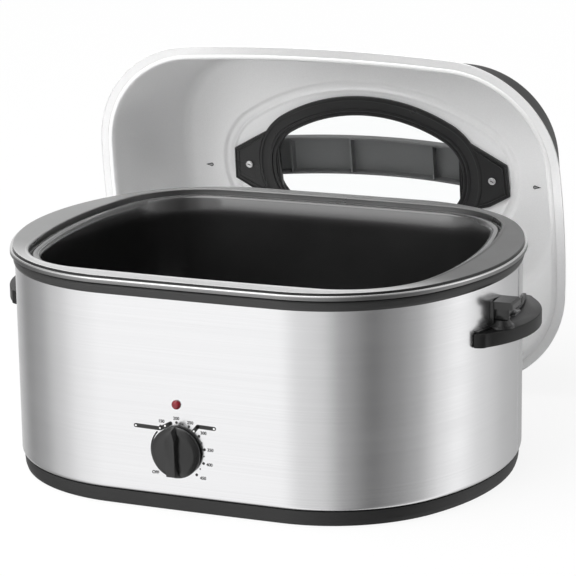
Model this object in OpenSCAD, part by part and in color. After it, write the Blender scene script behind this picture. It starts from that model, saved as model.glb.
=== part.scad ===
// Electric roaster oven: a rounded oblong body with a steel casing, a lift-out
// roasting pan, a thermostat knob and a tall domed lid with a viewing window.
// The lid is taken off and stands on its long edge behind the body.
// Origin: centre of the body on the counter. +X right, +Y back, +Z up.

/* [Rim and body] */
// Width over the rim
rim_w = 560; // [540:2:600]
// Depth over the rim, front to back
rim_d = 444; // [430:2:470]
// Height from the counter to the top of the rim
body_h = 248; // [235:1:270]
// Plan radius of the long sides
side_r = 7000; // [5000:100:9000]
// Plan radius of the short ends
end_r = 273; // [262:1:320]
// Plan radius of the corners
corner_r = 170; // [155:1:175]
// Width of the rim's flat flange at the front and back
flange_side = 23; // [20:1:26]
// Width of the rim's flat flange at the ends
flange_end = 40; // [36:1:43]
// Height of the rim's outer skirt
skirt_h = 10; // [8:0.5:13]
// Height of the dark trim band under the rim
band_h = 10; // [7:0.5:13]
// How far the trim band stands back from the rim's edge
band_set = 3.2; // [2.4:0.1:4]
// How far the casing stands back from the rim's edge
case_set = 5; // [4.5:0.1:7]
// Sheet thickness of the casing
case_t = 1; // [0.8:0.1:1.5]
// Radius at the casing's lower edge
case_foot_r = 6; // [4:0.5:8]

/* [Base] */
// Height of the base ring, to the lower edge of the casing
base_h = 17; // [14:0.5:22]
// How far the base ring stands back from the rim's edge
base_set = 7.5; // [6.5:0.1:9]
// Wall of the base ring
base_wall = 3; // [2.4:0.1:4]
// Thickness of the bottom plate
plate_t = 1.2; // [0.8:0.1:2]
// Radius of a foot
foot_r = 12; // [9:0.5:15]
// Distance of a foot from the end of the rim
foot_in = 90; // [84:1:120]
// Distance of a foot from the front or back of the rim
foot_back = 102; // [94:1:130]
// How far the feet lift the base ring off the counter
foot_proud = 1.2; // [0.8:0.1:1.3]

/* [Cook well and pan] */
// Plan radius of the well's long sides
well_side_r = 3000; // [2000:100:5000]
// Plan radius of the well's short ends
well_end_r = 520; // [450:10:700]
// Plan radius of the well's corners
well_corner_r = 100; // [94:1:106]
// Sheet thickness of the cook well
well_t = 1.2; // [1:0.1:1.6]
// Drop from the rim to the ledge that carries the pan
ledge_drop = 9.2; // [8:0.2:9.6]
// Width of the pan ledge
ledge_w = 11; // [10:0.5:11.5]
// Height of the underside of the cook well
well_floor = 44; // [42:0.5:50]
// Sheet thickness of the pan
pan_t = 1.4; // [1.2:0.1:2]
// Gap between the pan's rolled edge and the drop beside it
pan_edge_gap = 3.5; // [2:0.1:4]
// Radius of the pan's rolled edge
pan_roll_r = 1.8; // [1.6:0.1:2.2]
// Distance from the drop to the outside of the pan's wall
pan_rim_w = 14.5; // [14:0.5:18]
// Inside depth of the pan
pan_depth = 180; // [160:1:185]
// Radius between the pan's wall and floor
pan_foot_r = 7; // [6:0.5:12]

/* [Controls] */
// Knob axis, sideways from the middle of the front
knob_x = -14; // [-60:1:60]
// Knob axis, height above the counter
knob_z = 67; // [62:1:90]
// Radius of the knob's skirt
knob_r = 27; // [22:0.5:30]
// How far the knob stands out, skirt and grip
knob_h = 23; // [18:0.5:28]
// Width of the knob's grip bar
grip_w = 13; // [9:0.5:16]
// Radius of the thermostat shaft
shaft_r = 3; // [2.5:0.1:4]
// Radius of the indicator lens
lens_r = 5; // [4:0.1:6]
// Height of the indicator lens above the knob axis
lens_up = 50.5; // [42:0.5:60]

/* [Side handles] */
// How far a handle stands out past the casing
handle_out = 28; // [26:0.5:34]
// Half the length of a handle
handle_half = 86; // [75:1:90]
// Drop from the top of the rim to a handle's top face
handle_drop = 65; // [58:1:73]
// Height of a handle's edge
handle_h = 15; // [12:0.5:18]
// Plan radius of a handle's outer edge
handle_r = 122; // [118:1:140]
// Lid rest, distance in front of the middle of the handle
rest_y = 44; // [40:1:56]
// Width of the lid rest
rest_w = 30; // [24:1:34]
// Height of the lid rest above the handle
rest_h = 28; // [24:1:34]

/* [Lid] */
// Width over the lid's flange
lid_w = 582; // [560:2:590]
// Depth over the lid's flange
lid_d = 420; // [410:2:430]
// Plan radius of the lid's long sides
lid_side_r = 2300; // [1800:50:3500]
// Plan radius of the lid's short ends
lid_end_r = 1180; // [900:20:1500]
// Plan radius of the lid's corners
lid_corner_r = 136; // [128:1:145]
// Depth of the dome, from the flange to the inside of the roof
dome_h = 145; // [120:1:160]
// Sheet thickness of the lid
lid_t = 1.2; // [1:0.1:1.8]
// Width of the lid's flat flange
lid_flange_w = 11; // [9:0.5:14]
// Inset of the dome's wall at the flange
wall_set = 18; // [16:0.5:22]
// Inset of the dome's wall at its shoulder, at the short ends
shoulder_end = 42; // [36:0.5:48]
// Inset of the dome's wall at its shoulder, at the long sides
shoulder_side = 52; // [46:0.5:53]
// Plan radius of the dome's corners at its shoulder
dome_corner_r = 112; // [106:1:114]
// Radius of the dome's shoulder
shoulder_r = 18; // [14:0.5:18]
// How far the embossed oval stands out past the glass, sideways
emboss_side = 72; // [66:1:76]
// How far the embossed oval stands out past the glass, up and down
emboss_up = 44; // [38:1:46]
// Height of the embossed step
emboss_h = 3; // [2:0.25:4]
// How far the lid leans forward from upright, in degrees
lid_lean = 10.3; // [6:0.1:14]
// Sideways place of the standing lid
lid_x = -36; // [-40:1:0]
// Distance of the standing lid's middle behind the middle of the body
lid_y = 265; // [262:1:300]

/* [Window and lid handle] */
// Half the width of the glass that shows
pane_a = 122; // [110:1:126]
// Half the height of the glass that shows
pane_b = 74; // [66:1:76]
// Plan radius of the window's long sides
pane_side_r = 190; // [170:5:220]
// Plan radius of the window's short ends
pane_end_r = 80; // [72:1:95]
// Plan radius of the window's corners
pane_corner_r = 50; // [45:1:54]
// Width of the window frame round the glass
frame_w = 24; // [20:1:26]
// Thickness of the window frame
frame_t = 5; // [4:0.5:7]
// Thickness of the glass
glass_t = 4; // [3:0.5:5]
// Half the distance between the handle screws
screw_x = 159; // [154:1:166]
// Width of the lid handle
grip_d = 46; // [38:1:52]
// Height of the lid handle's bridge above the roof
grip_rise = 46; // [38:1:52]
// Thickness of the lid handle's bridge
grip_t = 13; // [10:0.5:15]

/* [Hidden] */
$fn = 96;

fit_gap = 0.3;                        // clearance between pieces that seat on each other
overcut = 1;                          // how far a cutting tool runs past the face it cuts
body_plan = [rim_w / 2, rim_d / 2, side_r, end_r, corner_r, [10, 12, 3]];
well_plan = [rim_w / 2 - flange_end, rim_d / 2 - flange_side, well_side_r, well_end_r, well_corner_r,
             body_plan[5]];
lid_plan = [lid_w / 2, lid_d / 2, lid_side_r, lid_end_r, lid_corner_r, [4, 12, 6]];
dome_plan = [lid_w / 2 - shoulder_end, lid_d / 2 - shoulder_side, lid_side_r - shoulder_side,
             lid_end_r - shoulder_end, dome_corner_r, lid_plan[5]];
pane_plan = [pane_a, pane_b, pane_side_r, pane_end_r, pane_corner_r, [4, 12, 14]];
band_top = body_h - skirt_h;
case_top = band_top - band_h;
ledge_z = body_h - ledge_drop;        // top face of the pan ledge
case_front = rim_d / 2 - case_set;    // distance of the casing's front from the middle
inside_front = case_front - case_t;
case_end = rim_w / 2 - case_set;
foot_x = rim_w / 2 - foot_in;
foot_y = rim_d / 2 - foot_back;
handle_top = body_h - handle_drop;
black = [0.09, 0.09, 0.1];

// ---- outlines made of eight tangent arcs: half width, half depth, the radii of side, end and
// corner, and into how many steps an end, a corner and a side are divided

// Centre of the corner arc in the +X +Y quarter
function corner_at(o) =
    let (from = [0, o[1] - o[2]], to = [o[0] - o[3], 0],
         r0 = o[2] - o[4], r1 = o[3] - o[4], d = norm(to - from), u = (to - from) / d,
         along = (r0 * r0 - r1 * r1 + d * d) / (2 * d),
         across = sqrt(r0 * r0 - along * along))
    from + along * u + across * [u[1], -u[0]];

// The eight arcs, each as [centre, radius, start angle, sweep angle]
function arcs(o) =
    let (c = corner_at(o), e = atan2(c[1], c[0] - o[0] + o[3]), s = atan2(c[1] - o[1] + o[2], c[0]))
    [[[o[0] - o[3], 0], o[3], -e, 2 * e],
     [[c[0], c[1]], o[4], e, s - e],
     [[0, o[1] - o[2]], o[2], s, 180 - 2 * s],
     [[-c[0], c[1]], o[4], 180 - s, s - e],
     [[o[3] - o[0], 0], o[3], 180 - e, 2 * e],
     [[-c[0], -c[1]], o[4], 180 + e, s - e],
     [[0, o[2] - o[1]], o[2], 180 + s, 180 - 2 * s],
     [[c[0], -c[1]], o[4], 360 - s, s - e]];

function toward(angle) = [cos(angle), sin(angle)];

// Points of the outline drawn in from the edge by inset, as many for every inset
function outline(o, inset) =
    [for (i = [0:7]) let (arc = arcs(o)[i], n = i % 2 == 1 ? o[5][1] : i % 4 == 0 ? o[5][0] : o[5][2])
        for (k = [0:n - 1]) arc[0] + (arc[1] - inset) * toward(arc[2] + arc[3] * k / n)];

module plan(o, inset = 0) {
    polygon(outline(o, inset));
}

// Ring between two insets of the outline, h high from height z
module ring(o, outer, inner, z, h) {
    translate([0, 0, z]) linear_extrude(h) difference() {
        plan(o, outer);
        plan(o, inner);
    }
}

// Points of an arc in a profile
function curve(at, r, from, to, n) =
    [for (k = [0:n]) at + r * toward(from + (to - from) * k / n)];

// Gives every point of a profile an outline of its own
function on(o, points) = [for (p = points) [p[0], p[1], o]];

// Lofts a section round the outline. The section runs anticlockwise, each point as
// [distance out from the edge, height]. A point can name an outline of its own as a third
// value. An open section is closed by a flat at each end.
module loft(o, section, open = false) {
    rings = [for (p = section) [for (q = outline(len(p) > 2 ? p[2] : o, -p[0])) [q[0], q[1], p[1]]]];
    n = len(rings[0]);
    m = len(rings);
    walls = [for (j = [0:open ? m - 2 : m - 1]) for (i = [0:n - 1])
        [j * n + i, (j + 1) % m * n + i, (j + 1) % m * n + (i + 1) % n, j * n + (i + 1) % n]];
    caps = open ? [[for (i = [0:n - 1]) i], [for (i = [n - 1:-1:0]) (m - 1) * n + i]] : [];
    polyhedron([for (r = rings) each r], concat(walls, caps), convexity = 8);
}

module box(from, to) {
    translate(from) cube(to - from);
}

// Cylinder that runs from a point toward the front
module toward_front(at, r, h) {
    translate(at) rotate([90, 0, 0]) cylinder(r = r, h = h);
}

// ---- base

base_in = base_set + base_wall;
base_lip = 14;                        // depth of the base ring's inner lips
plate_z = 4;                          // underside of the bottom plate

module base_ring() {
    color([0.18, 0.18, 0.19]) {
        ring(body_plan, base_set + base_wall / 3, base_in, foot_proud, base_h - foot_proud);
        ring(body_plan, base_set, base_in, foot_proud + base_wall / 3, base_h - foot_proud - base_wall / 3);
        ring(body_plan, base_in - 1, base_in + base_lip, foot_proud, plate_z - foot_proud);
        ring(body_plan, base_in - 1, base_in + base_lip / 2, base_h - base_wall, base_wall);
    }
}

module at_feet() {
    for (x = [-foot_x, foot_x], y = [-foot_y, foot_y]) translate([x, y]) children();
}

foot_screw_r = 2;

module bottom_plate() {
    slot_w = 5;
    slot_l = 60;
    slot_pitch = 30;
    color([0.62, 0.63, 0.65]) difference() {
        translate([0, 0, plate_z]) linear_extrude(plate_t) plan(body_plan, base_in + fit_gap);
        at_feet() translate([0, 0, plate_z - overcut])
            cylinder(r = foot_screw_r + fit_gap, h = plate_t + 2 * overcut);
        for (k = [-3:3]) translate([k * slot_pitch, 0, plate_z - overcut])
            linear_extrude(plate_t + 2 * overcut) {
                square([slot_w, slot_l - slot_w], center = true);
                for (y = [-1, 1]) translate([0, y * (slot_l - slot_w) / 2]) circle(slot_w / 2);
            }
    }
}

foot_recess = 2.6;                    // depth of the pocket that hides the screw head

module rubber_feet() {
    color([0.12, 0.12, 0.12]) at_feet() rotate_extrude() difference() {
        union() {
            square([foot_r, plate_z - 1]);
            square([foot_r - 1, plate_z]);
        }
        translate([-overcut, -overcut])
            square([2 * foot_screw_r + fit_gap + overcut, foot_recess + overcut]);
        translate([-overcut, 0]) square([foot_screw_r + fit_gap + overcut, plate_z + overcut]);
    }
}

module foot_screws() {
    color([0.75, 0.75, 0.77]) at_feet() rotate_extrude() {
        translate([0, foot_recess - 1.8]) square([2 * foot_screw_r, 1.8 - fit_gap / 2]);
        translate([0, foot_recess - 1.8]) square([foot_screw_r, plate_z + plate_t + 3 - foot_recess]);
        translate([0, plate_z + plate_t]) square([2 * foot_screw_r, 2]);
    }
}

// ---- casing and rim

gland_x = rim_w / 8;                  // cord gland, sideways from the middle of the back
gland_z = 48;
gland_r = 6.5;
bush_r = 4.5;                         // threaded neck of the thermostat
lens_z = knob_z + lens_up;
screw_r = 2;
handle_screw_z = handle_top - handle_h / 2;
handle_screw_y = 62;

// Distance of the end of the casing from the middle at a distance y to the side
function end_at(y, inset) = rim_w / 2 - end_r + sqrt((end_r - inset) * (end_r - inset) - y * y);

// Distance of the casing's side from the middle at a distance x sideways
function side_at(x, inset) = rim_d / 2 - side_r + sqrt((side_r - inset) * (side_r - inset) - x * x);

module at_handle_screws() {
    for (side = [-1, 1], y = [-handle_screw_y, handle_screw_y])
        translate([side * (end_at(y, case_set) - case_t - fit_gap), y, handle_screw_z])
            rotate([0, side * 90, 0]) children();
}

casing_flange = 12;                   // width of the flange turned in under the casing

module outer_casing() {
    foot = [-case_set - case_foot_r, base_h + case_foot_r];
    section = concat([[foot[0] - casing_flange, base_h]], curve(foot, case_foot_r, 270, 360, 5),
                     [[-case_set, case_top], [-case_set - case_t, case_top]],
                     curve(foot, case_foot_r - case_t, 360, 270, 5),
                     [[foot[0] - casing_flange, base_h + case_t]]);
    color([0.82, 0.83, 0.84]) difference() {
        loft(body_plan, section);
        toward_front([knob_x, -inside_front + overcut, knob_z], bush_r + fit_gap, case_t + 2 * overcut);
        toward_front([knob_x, -inside_front + overcut, lens_z], lens_r - 1 + fit_gap, case_t + 2 * overcut);
        toward_front([gland_x, case_front + overcut, gland_z], gland_r + fit_gap, case_t + 2 * overcut);
        at_handle_screws() translate([0, 0, -overcut]) cylinder(r = screw_r + fit_gap, h = 4 + overcut);
    }
}

band_wall = 5;
band_key = 6;                         // how far the band's key reaches down inside the casing

module trim_band() {
    lower = band_h * 0.45;
    key_set = case_set + case_t + 2 * fit_gap;
    color([0.16, 0.16, 0.17]) {
        ring(body_plan, band_set + 0.8, band_set + band_wall, case_top, band_h);
        ring(body_plan, band_set, band_set + band_wall, case_top + lower, band_h - lower);
        ring(body_plan, key_set, key_set + 2, case_top - band_key, band_key + 1);
    }
}

skirt_r = 4;                          // radius at the rim's outer edge
lip_in = 10;                          // how far the skirt's lip turns in over the trim band

module cook_well() {
    wall_r = 8;
    edge_r = 1.5;
    wall_x = well_t - ledge_w;
    foot = [wall_x - wall_r, well_floor + wall_r];
    edge = [-skirt_r, body_h - skirt_r];
    outside = concat(curve(foot, wall_r, 270, 360, 3),
                     [[wall_x, ledge_z - well_t], [well_t, ledge_z - well_t], [well_t, body_h - well_t]]);
    inside = concat([[edge_r, body_h], [0, body_h - edge_r], [0, ledge_z], [wall_x - well_t, ledge_z]],
                    curve(foot, wall_r - well_t, 360, 270, 3));
    section = concat(on(well_plan, outside),
                     curve(edge, skirt_r - well_t, 90, 0, 2),
                     [[-well_t, band_top + well_t], [-lip_in, band_top + well_t],
                      [-lip_in, band_top], [0, band_top]],
                     curve(edge, skirt_r, 0, 90, 4),
                     on(well_plan, inside));
    color([0.42, 0.43, 0.45]) loft(body_plan, section, open = true);
}

// ---- heating and insulation

heater_t = 2;
heater_w = 42;
heater_z = 62;
blanket_t = 6;
blanket_foot = 50;
blanket_top = 214;
shield_rise = 12;
shield_set = case_set + case_foot_r + 3;
shield_top = base_h + case_t + shield_rise;

module heater_band() {
    inner = ledge_w - well_t - fit_gap;
    ribbon = 4;
    color([0.7, 0.66, 0.55]) {
        ring(well_plan, inner - heater_t, inner, heater_z, heater_w);
        for (k = [0:3])
            ring(well_plan, inner - heater_t - 0.6, inner - heater_t + 0.2,
                 heater_z + ribbon + 2.5 * k * ribbon, ribbon);
    }
}

module wall_insulation() {
    inner = ledge_w - well_t - fit_gap - heater_t - 1;
    color([0.85, 0.82, 0.7])
        ring(well_plan, inner - blanket_t, inner, blanket_foot, blanket_top - blanket_foot);
}

module floor_insulation() {
    color([0.85, 0.82, 0.7]) translate([0, 0, shield_top])
        linear_extrude(well_floor - shield_top) plan(well_plan, ledge_w + 4);
}

module heat_shield() {
    flange = 8;
    color([0.7, 0.71, 0.73]) {
        ring(body_plan, shield_set, shield_set + flange, base_h + case_t, case_t);
        ring(body_plan, shield_set + flange - case_t, shield_set + flange, base_h + case_t, shield_rise);
        translate([0, 0, shield_top - case_t]) linear_extrude(case_t)
            plan(body_plan, shield_set + flange - case_t);
    }
}

// ---- controls, on the knob's axis

stat_w = 34;
stat_h = 30;
stat_d = 16;
nut_t = 2.2;
knob_gap = 3;                         // between the casing and the back of the knob
shaft_in = 8;                         // how far the shaft reaches into the thermostat

seat_gap = 0.5;                       // behind the casing's slightly curved front

module on_knob_axis() {
    translate([knob_x, -case_front, knob_z]) rotate([90, 0, 0]) children();
}

module thermostat_body() {
    color([0.85, 0.82, 0.74]) on_knob_axis() difference() {
        union() {
            box([-stat_w / 2, -stat_h / 2, -case_t - stat_d], [stat_w / 2, stat_h / 2, -case_t - 2]);
            box([-stat_w / 2 - 7, -stat_h / 3, -case_t - 2.2],
                [stat_w / 2 + 7, stat_h / 3, -case_t - seat_gap]);
            translate([0, 0, -case_t - 1]) cylinder(r = bush_r, h = 1 + case_t + nut_t - 0.2);
            for (side = [-1, 1]) box([side * 12 - 3, -stat_h / 2 - 6, -case_t - stat_d + 3],
                                     [side * 12 + 3, -stat_h / 2 + 1, -case_t - stat_d + 4]);
        }
        translate([0, 0, -case_t - shaft_in - fit_gap])
            cylinder(r = shaft_r + 0.05, h = shaft_in + case_t + nut_t + overcut);
    }
}

module thermostat_nut() {
    color([0.75, 0.75, 0.77]) on_knob_axis() difference() {
        cylinder(r = 8, h = nut_t, $fn = 6);
        translate([0, 0, -overcut]) cylinder(r = bush_r + 0.1, h = nut_t + 2 * overcut);
    }
}

module thermostat_shaft() {
    color([0.75, 0.75, 0.77]) on_knob_axis()
        translate([0, 0, -case_t - shaft_in]) difference() {
            cylinder(r = shaft_r, h = case_t + shaft_in + knob_gap + 11);
            box([shaft_r / 2, -shaft_r - 1, case_t + shaft_in + knob_gap + 3],
                [shaft_r + 1, shaft_r + 1, case_t + shaft_in + knob_gap + 12]);
        }
}

socket_h = 13;                        // depth of the knob's socket
skirt_t = 5;

module knob() {
    color(black) on_knob_axis() translate([0, 0, knob_gap]) difference() {
        union() {
            difference() {
                rotate_extrude() {
                    square([knob_r, skirt_t - 1]);
                    square([knob_r - 1, skirt_t]);
                }
                translate([0, 0, -overcut]) rotate_extrude()
                    translate([shaft_r + 4, 0]) square([knob_r - shaft_r - 6, skirt_t - 2 + overcut]);
            }
            knob_grip();
        }
        translate([0, 0, -overcut]) cylinder(r = shaft_r + fit_gap, h = socket_h + overcut);
    }
}

// Grip bar: crowned along its length, with a blunt point toward the pointer's end
module knob_grip() {
    crown = 60;
    half = grip_w / 2;
    intersection() {
        linear_extrude(knob_h) polygon([[-half, -knob_r + 2], [half, -knob_r + 2],
            [half, knob_r - half - 1], [half / 3, knob_r - 1], [-half / 3, knob_r - 1],
            [-half, knob_r - half - 1]]);
        translate([0, 0, knob_h - crown]) rotate([0, 90, 0])
            translate([0, 0, -knob_r]) cylinder(r = crown, h = 2 * knob_r);
        cylinder(r1 = knob_r + 2, r2 = knob_r - 5, h = knob_h);
    }
}

module knob_clip() {
    color([0.75, 0.75, 0.77]) on_knob_axis() translate([0, 0, knob_gap - 0.8])
        difference() {
            cylinder(r = shaft_r + 2.4, h = 0.6);
            translate([0, 0, -overcut]) cylinder(r = shaft_r + 0.05, h = 0.6 + 2 * overcut);
            box([-1, 0, -overcut], [1, shaft_r + 4, 2]);
        }
}

lamp_l = 14;

module indicator_lens() {
    color([0.55, 0.05, 0.08]) translate([knob_x, -case_front, lens_z]) rotate([90, 0, 0])
        rotate_extrude() {
            intersection() {
                translate([0, -lens_r * 1.2]) circle(lens_r * 1.9);
                square([lens_r, lens_r]);
            }
            translate([0, -case_t - 2]) square([lens_r - 1, case_t + 2.5]);
        }
}

module indicator_lamp() {
    color([0.8, 0.8, 0.76]) translate([knob_x, -inside_front + 2, lens_z]) rotate([-90, 0, 0]) {
        cylinder(r = lens_r - 1, h = lamp_l);
        cylinder(r = lens_r + 1, h = 2);
    }
}

// ---- wiring inside the base of the casing

wire_r = 1.5;
wire_set = 19;                        // inset of the outer lead
block_w = 40;                         // terminal block, sideways, and how far it is from the gland
block_d = 14;

module terminal_block() {
    from = gland_x - 2 * block_w;
    back = inside_front - 9;
    color([0.9, 0.89, 0.84]) difference() {
        box([from, back - block_d, shield_top], [from + block_w, back, shield_top + 16]);
        for (k = [1, 3, 5]) translate([from + k * block_w / 6, back - block_d / 2, shield_top + 8])
            cylinder(r = 3, h = 8 + overcut);
        box([from - overcut, rim_d / 2 - wire_set - 4 - 2 * wire_r - 3, shield_top - overcut],
            [from + block_w + overcut, rim_d / 2 - wire_set + 1, shield_top + 2 * wire_r + 1]);
    }
}

module wiring_harness() {
    z = shield_top + fit_gap;
    color([0.35, 0.12, 0.1]) {
        for (side = [-1, 1])
            translate([side * 60, wire_set - rim_d / 2 - 1, z - 0.2]) cube([8, 9, 2 * wire_r + 1]);
        for (k = [0, 1]) {
            ring(body_plan, wire_set + 4 * k, wire_set + 4 * k + 2 * wire_r, z, 2 * wire_r);
            translate([knob_x + (k == 0 ? -12 : 12), wire_set + 4 * k + wire_r - rim_d / 2, z + 1])
                cylinder(r = wire_r, h = knob_z - stat_h / 2 - z - 7 - fit_gap);
        }
    }
}

module cord_gland() {
    bore_r = 3.8;
    at = [gland_x, side_at(gland_x, case_set + case_t) - 8, gland_z];
    color(black) translate(at) rotate([-90, 0, 0]) difference() {
        union() {
            cylinder(r = gland_r, h = 8 + case_t + 5);
            cylinder(r = gland_r + 3, h = 8 - fit_gap);
            translate([0, 0, 8 + case_t + fit_gap]) cylinder(r1 = gland_r + 3.5, r2 = gland_r + 2, h = 4);
        }
        translate([0, 0, -overcut]) cylinder(r = bore_r, h = 8 + case_t + 5 + 2 * overcut);
    }
}

// ---- side handles

handle_skin = 3.2;

module handle_plan(inset = 0) {
    difference() {
        intersection() {
            translate([case_end + handle_out - handle_r, 0]) circle(handle_r - inset);
            translate([0, -handle_half + inset]) square([rim_w, 2 * (handle_half - inset)]);
        }
        plan(body_plan, case_set - fit_gap - inset);
    }
}

module handle() {
    rib = 2.6;
    difference() {
        translate([0, 0, handle_top - handle_h]) linear_extrude(handle_h) handle_plan();
        difference() {
            translate([0, 0, handle_top - handle_h - overcut])
                linear_extrude(handle_h - handle_skin + overcut) handle_plan(handle_skin);
            for (y = [-handle_screw_y, -rest_y / 2, rest_y / 2, handle_screw_y])
                box([case_end - 40, y - rib / 2, 0], [case_end + handle_out + 1, y + rib / 2, handle_top]);
            for (y = [-handle_screw_y, handle_screw_y])
                translate([0, y, handle_screw_z]) rotate([0, 90, 0])
                    cylinder(r = screw_r + 3, h = end_at(y, case_set) + 11);
        }
        for (y = [-handle_screw_y, handle_screw_y])
            translate([0, y, handle_screw_z]) rotate([0, 90, 0])
                cylinder(r = screw_r + 0.1, h = end_at(y, case_set) + 9);
    }
}

module handle_right() {
    color(black) handle();
}

module handle_left() {
    color(black) rotate(180) handle();
}

// Black bracket on the handle: a back plate, a square cap and a saucer with an open mouth
module lid_rest() {
    plate = 4;
    cap = 8;
    saucer_r = 16;
    saucer_t = 5;
    reach = handle_out - 9;
    foot = handle_top + fit_gap / 2;
    back = end_at(rest_y + rest_w / 2, case_set) + fit_gap;
    difference() {
        union() {
            box([back - 8, -rest_w / 2 - rest_y, foot],
                [back + 4 + plate, rest_w / 2 - rest_y, foot + rest_h]);
            box([back, -rest_w / 2 - rest_y, foot + rest_h - cap],
                [case_end + reach, rest_w / 2 - rest_y, foot + rest_h]);
            translate([case_end + reach - saucer_r - 1, -rest_y, foot]) cylinder(r = saucer_r, h = saucer_t);
            translate([case_end + reach - saucer_r - 4, -rest_y, foot]) cylinder(r = 5, h = saucer_t + 5);
        }
        translate([0, 0, handle_top - overcut]) linear_extrude(rest_h + 2 * overcut)
            plan(body_plan, case_set - fit_gap);
        translate([case_end + reach, -rest_w / 2 - rest_y - overcut, foot + rest_h])
            rotate([0, 45, 0]) cube([4, rest_w + 2 * overcut, 4], center = false);
    }
}

module lid_rest_right() {
    color(black) lid_rest();
}

module lid_rest_left() {
    color(black) rotate(180) lid_rest();
}

module handle_screws() {
    slant = 0.6 * screw_r;                // keeps the head clear of the slanting wall
    color([0.75, 0.75, 0.77]) at_handle_screws() translate([0, 0, -slant]) {
        translate([0, 0, -1.8]) cylinder(r = 2 * screw_r, h = 1.8);
        cylinder(r = screw_r, h = 8 + slant);
    }
}

// ---- roasting pan

pan_roll_z = ledge_z + fit_gap + pan_roll_r;
pan_top = pan_roll_z + pan_roll_r;

module roasting_pan() {
    rim_r = 4;
    floor_z = pan_top - pan_depth;
    roll = [-pan_edge_gap - pan_roll_r, pan_roll_z];
    bend_x = -pan_rim_w + rim_r - pan_t;
    foot = [-pan_rim_w - pan_foot_r, floor_z + pan_foot_r];
    section = concat(curve(foot, pan_foot_r, 270, 360, 4),
                     curve([bend_x, pan_top - rim_r], rim_r - pan_t, 180, 90, 2),
                     [[roll[0] - 0.5, pan_top - pan_t]],
                     curve(roll, pan_roll_r, 240, 450, 6),
                     curve([bend_x, pan_top - rim_r], rim_r, 90, 180, 3),
                     curve(foot, pan_foot_r - pan_t, 360, 270, 4));
    color([0.07, 0.07, 0.075]) loft(well_plan, section, open = true);
}

// ---- lid, drawn closed with its flange at z = 0, then stood behind the body

roof = dome_h + emboss_h;             // inside of the roof round the window
roof_out = roof + lid_t;
pane_hole = 6;                        // how far the roof's opening stands out past the glass that shows
emboss_plan = [pane_a + emboss_side, pane_b + emboss_up, 1.5 * pane_side_r, 1.6 * pane_end_r,
               1.65 * pane_corner_r, lid_plan[5]];

module stood_up() {
    translate([lid_x, lid_y, lid_d / 2 * cos(lid_lean)]) rotate([lid_lean - 90, 0, 0]) children();
}

// Places something at each handle screw
module at_lid_screws() {
    for (side = [-1, 1]) translate([side * screw_x, 0]) children();
}

module lid_shell() {
    edge_r = 1.6;
    bead_r = 2;
    bead = [-lid_flange_w - bead_r, bead_r];
    vent_x = pane_a + emboss_side + 18;
    shoulder = [-shoulder_r, dome_h + lid_t - shoulder_r];
    half_t = lid_t / 2;
    section = concat([[-emboss_h, roof, emboss_plan], [0, dome_h, emboss_plan]],
                     on(dome_plan, curve(shoulder, shoulder_r - lid_t, 90, 0, 4)),
                     [[-wall_set - lid_t, 9]],
                     curve(bead, bead_r, 200, 340, 4),
                     [[-2 * edge_r, edge_r - 0.6]],
                     curve([-edge_r, edge_r], edge_r, 240, 480, 5),
                     [[bead[0], bead[1] + 1], [-wall_set, 9]],
                     on(dome_plan, curve(shoulder, shoulder_r, 0, 90, 4)),
                     [[half_t, dome_h + lid_t, emboss_plan], [half_t - emboss_h, roof_out, emboss_plan]]);
    color([0.86, 0.86, 0.87]) stood_up() difference() {
        loft(lid_plan, section, open = true);
        translate([0, 0, roof - overcut]) linear_extrude(lid_t + 2 * overcut)
            plan(pane_plan, -pane_hole);
        at_lid_screws() translate([0, 0, roof - overcut])
            cylinder(r = screw_r + fit_gap, h = lid_t + 2 * overcut);
        for (side = [-1, 1]) translate([side * vent_x, 5, dome_h - overcut])
            linear_extrude(lid_t + 2 * overcut) {
                square([9, 2.4], center = true);
                translate([-side * 4.5, 0]) circle(2);
            }
    }
}

gasket_t = 1.5;

module window_gasket() {
    color([0.6, 0.6, 0.6]) stood_up() translate([0, 0, roof - gasket_t - glass_t / 2 + lid_t / 2])
        linear_extrude(glass_t + gasket_t) difference() {
            plan(pane_plan, fit_gap - pane_hole);
            plan(pane_plan, 2 - pane_hole);
        }
}

module window_glass() {
    color([0.8, 0.85, 0.86, 0.4]) stood_up() translate([0, 0, roof + lid_t / 2 - glass_t / 2])
        linear_extrude(glass_t) plan(pane_plan, 2 + fit_gap - pane_hole);
}

// Outline of the frame's wings, one at each handle screw, joined behind the oval
module wings() {
    wing = [[pane_a + 4, -50], [screw_x + 19, -20], [screw_x + 21, 20], [screw_x - 4, 36]];
    polygon(concat(wing, [for (i = [3:-1:0]) [-wing[i][0], wing[i][1]]]));
}

module window_frame() {
    base_z = roof - fit_gap / 2 - frame_t;
    groove = [-frame_w * 0.6, -frame_w * 0.45];
    color(black) stood_up() difference() {
        union() {
            translate([0, 0, base_z]) linear_extrude(frame_t) plan(pane_plan, -frame_w);
            translate([0, 0, base_z + 0.5]) linear_extrude(frame_t - 1) wings();
        }
        ring(pane_plan, groove[0], groove[1], base_z - overcut, 1.4 + overcut);
        translate([0, 0, base_z - overcut]) linear_extrude(frame_t + 2 * overcut)
            plan(pane_plan);
        translate([0, 0, roof - gasket_t - glass_t / 2 + lid_t / 2 - fit_gap])
            linear_extrude(frame_t) plan(pane_plan, -pane_hole);
        at_lid_screws() {
            translate([0, 0, base_z - overcut]) cylinder(r = screw_r + fit_gap, h = frame_t + 2 * overcut);
            translate([0, 0, base_z - overcut]) cylinder(r = 6, h = 2 + overcut);
        }
    }
}

ring_t = 4;

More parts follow.
